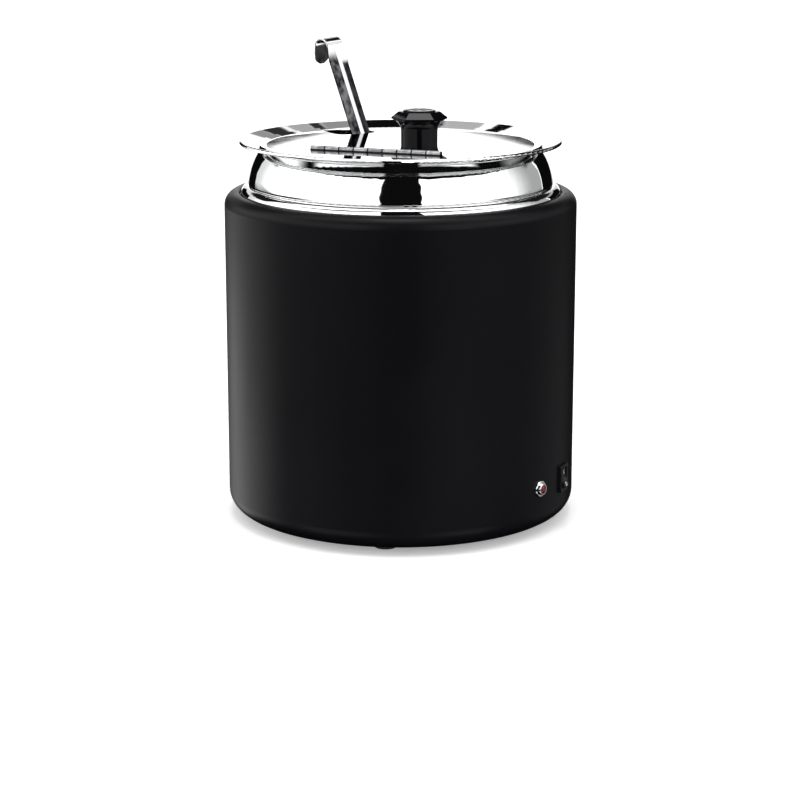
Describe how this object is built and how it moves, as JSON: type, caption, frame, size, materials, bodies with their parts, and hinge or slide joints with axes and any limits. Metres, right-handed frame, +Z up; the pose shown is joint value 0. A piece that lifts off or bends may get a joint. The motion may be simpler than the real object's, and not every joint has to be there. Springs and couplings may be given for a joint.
{
  "type": "soup kettle",
  "caption": "Electric soup kettle with a water-bath well, lift-out pot, hinged lid notched for a hooked ladle, indicator lamp and rocker switch.",
  "frame": {"origin": "on the table, under the middle of the kettle", "axes": "+Z up, -Y to the front, +X to the right seen from the front"},
  "size_m": [0.27, 0.27, 0.3622],
  "materials": {
    "black_coat": "satin powder coat",
    "polished_steel": "mirror-polished stainless steel",
    "hinge_steel": "polished stainless steel",
    "chrome": "polished",
    "galvanised": "zinc-coated sheet",
    "zinc": "zinc-plated",
    "aluminium": "machined",
    "element_sheath": "oxidised",
    "brass": "bright",
    "rubber": "matte",
    "silicone": "matte",
    "insulation": "fibre mat",
    "brown_phenolic": "moulded",
    "black_phenolic": "high gloss",
    "black_plastic": "satin gloss",
    "matte_black_plastic": "moulded",
    "red_lens": "glossy, unlit",
    "clear_glass": "clear",
    "wire_brown": "matte",
    "wire_blue": "matte",
    "wire_green": "matte"
  },
  "bodies": {
    "base": {"base_plate": "galvanised", "clamp_nuts": "zinc", "clamp_studs": "zinc", "earth_screw": "zinc", "earth_tag": "brass", "element_clamp": "galvanised", "element_terminals": "zinc", "foot_back": "rubber", "foot_front": "rubber", "foot_left": "rubber", "foot_nuts": "zinc", "foot_right": "rubber", "foot_screws": "zinc", "heat_spreader": "aluminium", "heating_element": "element_sheath", "indicator_bezel": "chrome", "indicator_bulb": "clear_glass", "indicator_lens": "red_lens", "indicator_nut": "zinc", "inlet_housing": "matte_black_plastic", "inlet_nuts": "zinc", "inlet_pins": "brass", "inlet_screws": "zinc", "insulation_sleeve": "insulation", "outer_shell": "black_coat", "sensor_screws": "zinc", "switch_housing": "black_plastic", "switch_tabs": "brass", "thermal_cutout": "brown_phenolic", "thermostat": "brown_phenolic", "tie_rod_nuts": "zinc", "tie_rods": "zinc", "well": "polished_steel", "well_seal": "silicone", "wire_earth": "wire_green", "wire_heater": "wire_brown", "wire_lamp_live": "wire_brown", "wire_lamp_neutral": "wire_blue", "wire_link": "wire_brown", "wire_live": "wire_brown", "wire_neutral": "wire_blue", "wire_switched": "wire_brown"},
    "rocker": {"switch_rocker": "black_plastic"},
    "pot": {"inner_pot": "polished_steel"},
    "lid": {"lid_segment": "polished_steel", "hinge_leaf_front": "hinge_steel", "hinge_pin": "hinge_steel"},
    "flap": {"lid_flap": "polished_steel", "hinge_leaf_rear": "hinge_steel", "lid_knob": "black_phenolic", "knob_insert": "brass", "knob_screw": "zinc", "knob_washer": "zinc"},
    "ladle": {"ladle_bowl": "polished_steel", "ladle_handle": "polished_steel"}
  },
  "joints": [
    {"name": "pot_lift", "type": "slide", "parent": "base", "child": "pot", "axis": [0, 0, 1], "range_m": [0, 0.26]},
    {"name": "lid_lift", "type": "slide", "parent": "pot", "child": "lid", "axis": [0, 0, 1], "range_m": [0, 0.1]},
    {"name": "flap_hinge", "type": "hinge", "parent": "lid", "child": "flap", "pos_m": [-0.01847, -0.05074, 0.2886], "axis": [0.9397, -0.342, 0], "range_deg": [0, 100]},
    {"name": "ladle_lift", "type": "slide", "parent": "pot", "child": "ladle", "axis": [-0.2971, 0.2228, 0.9285], "range_m": [0, 0.17]},
    {"name": "switch_rock", "type": "hinge", "parent": "base", "child": "rocker", "pos_m": [0.12335, -0.05338, 0.0385], "axis": [0.3971, 0.9178, 0], "range_deg": [0, 24]}
  ]
}
